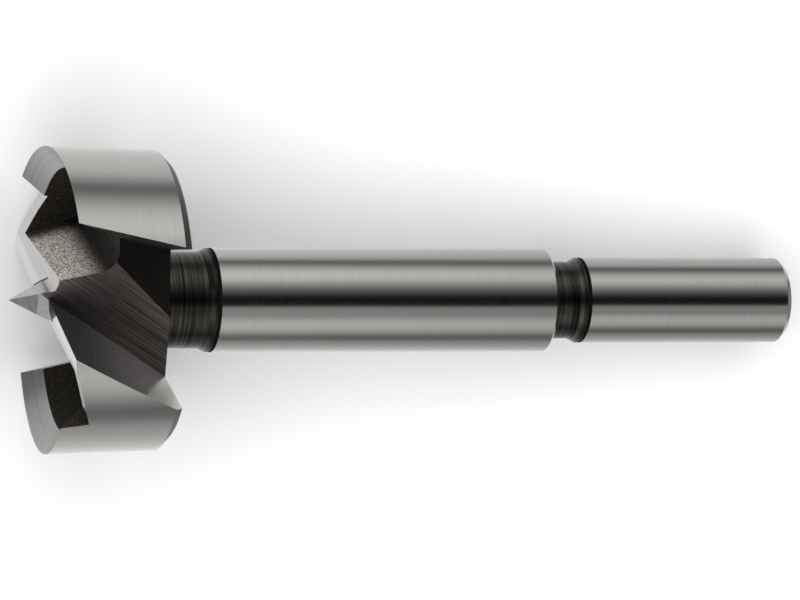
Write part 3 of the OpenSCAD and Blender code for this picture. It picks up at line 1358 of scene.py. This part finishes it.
        # The last material is the near black painted shade, on the faces marked for it
        for name, above in (("Ground", None), ("Turned", ROUGH_ABOVE), ("Undercut shade", PAINTED_SHADE_ABOVE)):
            dress = add("GeometryNodeSetMaterial")
            link(dressed, dress.inputs["Geometry"])
            link(given[name], dress.inputs["Material"])
            if above:
                link(maths("GREATER_THAN", marks.outputs["Attribute"], above), dress.inputs["Selection"])
            dressed = dress.outputs[0]
        link(dressed, add("NodeGroupOutput").inputs[0])
        return tree

    def solid(self) -> Solid:
        """Turns the outline.

        Returns:
            The stem, with the materials of its faces set.
        """
        line = self.outline()
        mesh = bpy.data.meshes.new("outline")
        points = [(corner.radius, 0.0, corner.height) for corner in line]
        mesh.from_pydata(points, [(k, k + 1) for k in range(len(line) - 1)], [])
        mark = mesh.attributes.new(TURNED_MARK, "FLOAT", "POINT")
        mark.data.foreach_set("value", [corner.mark for corner in line])
        holder = bpy.data.objects.new("stem_outline", mesh)
        bpy.context.scene.collection.objects.link(holder)
        tree = self.tree()
        step = holder.modifiers.new("turn", "NODES")
        step.node_group = tree
        values = {
            "Segments": self.segments,
            "Ring pitch": self.ring_pitch,
            "Ring depth": self.ring_depth,
            "Seed": float(SEED),
            "Ground": self.palette.materials[Finish.GROUND],
            "Turned": self.palette.materials[Finish.TURNED],
            "Undercut shade": self.palette.materials[Finish.UNDERCUT_SHADE],
        }
        for item in tree.interface.items_tree:
            if item.in_out == "INPUT" and item.name in values:
                step[item.identifier] = values[item.name]
        shown = holder.evaluated_get(bpy.context.evaluated_depsgraph_get())
        made = bpy.data.meshes.new_from_object(shown)
        bpy.data.objects.remove(holder)
        shape = bmesh.new()
        shape.from_mesh(made)
        bmesh.ops.recalc_face_normals(shape, faces=shape.faces)
        shape.to_mesh(made)
        shape.free()
        LOG.info("stem: %d faces", len(made.polygons))
        return Solid(made)


@dataclass
class BitPiece:
    """The whole bit as one piece on the frame."""

    sizes: BitSizes
    palette: Palette
    sharp_angle: float = 22.0

    def finished(self, mesh: bpy.types.Mesh, slots: list[int]) -> Solid:
        """Puts the whole palette on a mesh.

        Args:
            mesh: The mesh.
            slots: The place of each face's finish in the palette.

        Returns:
            The mesh as a solid.
        """
        mesh.materials.clear()
        for finish in self.palette.order:
            mesh.materials.append(self.palette.materials[finish])
        mesh.polygons.foreach_set("material_index", slots)
        return Solid(mesh)

    def head(self) -> Solid:
        """Builds the head and gives each of its faces a finish.

        Returns:
            The head in its place on the upright bit.
        """
        maker = CuttingHead(self.sizes)
        mesh = maker.solid().mesh
        shape = bmesh.new()
        shape.from_mesh(mesh)
        shape.normal_update()
        for face in shape.faces:
            finish = maker.finish_of(face.calc_center_median(), face.normal)
            face.material_index = self.palette.index(finish)
        for split in maker.splits():
            split.apply(shape, self.palette.index(split.finish))
        slots = [face.material_index for face in shape.faces]
        shape.to_mesh(mesh)
        shape.free()
        mesh.transform(Matrix.Translation((0, 0, self.sizes.rim_z)))
        return self.finished(mesh, slots)

    def stem(self) -> Solid:
        """Builds the stem and numbers its finishes as the palette does.

        Returns:
            The stem in its place on the upright bit.
        """
        mesh = TurnedStem(self.sizes, self.palette).solid().mesh
        places = {material: place for place, material in enumerate(self.palette.materials.values())}
        own = [places.get(material, 0) for material in mesh.materials]
        slots = [own[face.material_index] for face in mesh.polygons]
        return self.finished(mesh, slots)

    @staticmethod
    def clean(shape: bmesh.types.BMesh) -> None:
        """Merges near points, splits wide faces into triangles and drops triangles that lie on each other.

        Args:
            shape: The joined bit.
        """
        bmesh.ops.remove_doubles(shape, verts=shape.verts, dist=BIT_MERGE)
        bmesh.ops.dissolve_degenerate(shape, dist=BIT_MERGE, edges=shape.edges)
        bmesh.ops.triangulate(shape, faces=[face for face in shape.faces if len(face.verts) > 4])
        same: dict[frozenset[bmesh.types.BMVert], list[bmesh.types.BMFace]] = {}
        for face in shape.faces:
            same.setdefault(frozenset(face.verts), []).append(face)
        stray = [face for group in same.values() if len(group) > 1 for face in group]
        stray += [face for face in shape.faces if sum(edge.is_boundary for edge in face.edges) > 1]
        bmesh.ops.delete(shape, geom=stray, context="FACES")

    def build(self) -> bpy.types.Object:
        """Builds the stem and the head, joins them and lays them at rest.

        Returns:
            The finished object, which stands for the frame's node.
        """
        mesh = (self.head() | self.stem()).mesh
        mesh.name = PIECE
        shape = bmesh.new()
        shape.from_mesh(mesh)
        self.clean(shape)
        layer = shape.verts.layers.float_vector.new(BIT_COORDINATES)
        for corner in shape.verts:
            corner[layer] = corner.co
        open_edges = sum(not edge.is_manifold for edge in shape.edges)
        shape.to_mesh(mesh)
        shape.free()
        mesh.transform(RestPose(self.sizes).matrix())
        mesh.polygons.foreach_set("use_smooth", [True] * len(mesh.polygons))
        mesh.set_sharp_from_angle(angle=math.radians(self.sharp_angle))
        piece = bpy.data.objects.new(PIECE, mesh)
        bpy.context.scene.collection.objects.link(piece)
        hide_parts(NODE)
        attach(piece, "root")
        LOG.info("bit: %d faces, %d edges without two faces", len(mesh.polygons), open_edges)
        return piece


@dataclass(frozen=True)
class Card:
    """A strip of the light tent: its angle about the bit's axis from the camera's side, and its light."""

    angle: float
    light: float


@dataclass
class Studio:
    """Floor, light tent, fill light and camera.

    Sizes of the tent and places of the camera are in the upright bit's millimetres. Those of the floor and
    the fill light are in metres.
    """

    sizes: BitSizes
    floor_half: float = 2.0
    floor_shade: tuple[float, float, float, float] = (0.86, 0.86, 0.86, 1.0)
    floor_roughness: float = 0.9
    floor_specular: float = 0.1
    fill_size: float = 1.6
    fill_height: float = 0.7
    fill_energy: float = 20.0
    surrounding_light: float = 0.25
    sensor_width: float = 36.0
    clip: tuple[float, float] = (0.01, 20.0)
    focal_px: float = 4505.0
    picture_px: float = 800.0
    camera_distance: float = 523.2
    camera_lean: float = 16.959
    camera_aim: float = 47.10
    tent_radius: float = 320.0
    tent_ends: tuple[tuple[float, float], ...] = ((-420.0, 0.7), (-90.0, 0.86), (-20.0, 1.0), (420.0, 1.15))
    cards: tuple[Card, ...] = (
        Card(-180, 0.9), Card(-165, 0.9), Card(-147, 0.76), Card(-124, 0.52),
        Card(-107, 0.38), Card(-98, 0.20), Card(-90, 0.16), Card(-81, 0.31),
        Card(-70, 0.55), Card(-59, 0.66), Card(-49, 0.61), Card(-43, 0.52),
        Card(-37, 0.35), Card(-30, 0.335), Card(-19, 0.335), Card(-15.5, 0.29),
        Card(-14, 0.02), Card(2, 0.003), Card(6.5, 0.015), Card(14.5, 0.08),
        Card(23.5, 0.18), Card(32, 0.34), Card(41, 0.58), Card(51, 0.78),
        Card(61, 0.77), Card(71, 0.62), Card(81, 0.35), Card(88.5, 0.17),
        Card(94.5, 0.18), Card(102, 0.42), Card(109, 0.60), Card(116, 0.66),
        Card(129, 0.71), Card(145, 0.75), Card(156, 0.80), Card(170, 0.84),
        Card(180, 0.86),
    )

    def build(self) -> None:
        """Builds the whole set."""
        self.pose = RestPose(self.sizes).matrix()
        self.floor()
        self.tent()
        self.fill()
        self.surroundings()
        self.camera()
        scene = bpy.context.scene
        scene.view_settings.view_transform = "Standard"
        LOG.info("studio: floor, tent, fill and camera")

    def add(
        self, name: str, points: list[Vector], faces: list[list[int]], material: bpy.types.Material
    ) -> bpy.types.Object:
        """Adds a part of the set.

        Args:
            name: Its name.
            points: Corners in the row's frame, in metres.
            faces: Faces as lists of corner numbers.
            material: Its material.

        Returns:
            The object.
        """
        mesh = bpy.data.meshes.new(name)
        mesh.from_pydata(points, [], faces)
        mesh.materials.append(material)
        made = bpy.data.objects.new(name, mesh)
        bpy.context.scene.collection.objects.link(made)
        return made

    def floor(self) -> None:
        """The pale floor."""
        material = bpy.data.materials.new("pale_floor")
        material.use_nodes = True
        shader = material.node_tree.nodes["Principled BSDF"]
        shader.inputs["Base Color"].default_value = self.floor_shade
        shader.inputs["Roughness"].default_value = self.floor_roughness
        shader.inputs["Specular IOR Level"].default_value = self.floor_specular
        half = self.floor_half
        places = ((-half, -half), (half, -half), (half, half), (-half, half))
        floor = self.add("floor", [Vector((x, y, 0.0)) for x, y in places], [[0, 1, 2, 3]], material)
        floor.visible_glossy = False

    def glow(self, name: str, attribute: str) -> bpy.types.Material:
        """A material that glows by an attribute.

        Args:
            name: The material's name.
            attribute: The attribute with the strength.

        Returns:
            The material.
        """
        material = bpy.data.materials.new(name)
        material.use_nodes = True
        builder = TreeBuilder(material.node_tree)
        strength = builder.node("ShaderNodeAttribute", attribute_name=attribute)
        shader = builder.node("ShaderNodeEmission")
        builder.feed(shader.inputs["Strength"], strength.outputs["Fac"])
        output = builder.node("ShaderNodeOutputMaterial")
        builder.feed(output.inputs["Surface"], shader.outputs[0])
        return material

    def tent(self) -> None:
        """The light tent round the bit's axis, with a strength for each strip."""
        points, lights = [], []
        for card in self.cards:
            angle = math.radians(card.angle)
            for end, share in self.tent_ends:
                place = Vector((self.tent_radius * math.cos(angle), self.tent_radius * math.sin(angle), end))
                points.append(self.pose @ place)
                lights.append(card.light * share)
        rows = len(self.tent_ends)
        faces = [
            [k * rows + row, k * rows + row + 1, (k + 1) * rows + row + 1, (k + 1) * rows + row]
            for k in range(len(self.cards) - 1)
            for row in range(rows - 1)
        ]
        tent = self.add("light_tent", points, faces, self.glow("tent_light", "light"))
        layer = tent.data.attributes.new("light", "FLOAT", "POINT")
        layer.data.foreach_set("value", lights)
        tent.visible_camera = False
        tent.visible_shadow = False

    def fill(self) -> None:
        """A soft light from above that lights the floor and isn't seen in the steel."""
        light = bpy.data.lights.new("fill", "AREA")
        light.shape = "DISK"
        light.size = self.fill_size
        light.energy = self.fill_energy
        made = bpy.data.objects.new("fill", light)
        made.location = (0.0, 0.0, self.fill_height)
        made.visible_camera = False
        made.visible_glossy = False
        bpy.context.scene.collection.objects.link(made)

    def surroundings(self) -> None:
        """White to the camera, dim to everything else."""
        world = bpy.data.worlds.new("studio")
        bpy.context.scene.world = world
        world.use_nodes = True
        builder = TreeBuilder(world.node_tree)
        path = builder.node("ShaderNodeLightPath")
        level = builder.node("ShaderNodeMapRange")
        builder.feed(level.inputs["Value"], path.outputs["Is Camera Ray"])
        builder.feed(level.inputs["To Min"], self.surrounding_light)
        builder.feed(level.inputs["To Max"], 1.0)
        shader = builder.node("ShaderNodeBackground")
        builder.feed(shader.inputs["Strength"], level.outputs[0])
        builder.feed(shader.inputs["Color"], (1.0, 1.0, 1.0, 1.0))
        output = builder.node("ShaderNodeOutputWorld")
        builder.feed(output.inputs["Surface"], shader.outputs[0])

    def camera(self) -> None:
        """The camera at the photo's viewing angle, looking down on the bit."""
        lean = math.radians(self.camera_lean)
        back = Vector((math.cos(lean), 0.0, math.sin(lean)))
        right = Vector((math.sin(lean), 0.0, -math.cos(lean)))
        up = Vector((0.0, 1.0, 0.0))
        eye = self.pose @ (Vector((0.0, 0.0, self.camera_aim)) + back * self.camera_distance)
        turn = self.pose.to_3x3().normalized()
        axes = [turn @ axis for axis in (right, up, back)]
        lens = bpy.data.cameras.new("camera")
        lens.sensor_width = self.sensor_width
        lens.lens = self.focal_px / self.picture_px * lens.sensor_width
        lens.clip_start, lens.clip_end = self.clip
        made = bpy.data.objects.new("camera", lens)
        placed = Matrix(axes).transposed().to_4x4()
        placed.translation = eye
        made.matrix_world = placed
        bpy.context.scene.collection.objects.link(made)
        bpy.context.scene.camera = made


def main() -> None:
    """Builds the bit and its studio."""
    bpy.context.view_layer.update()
    sizes = BitSizes()
    palette = Palette(sizes)
    palette.build()
    BitPiece(sizes, palette).build()
    Studio(sizes).build()


if __name__ == "__main__":
    main()
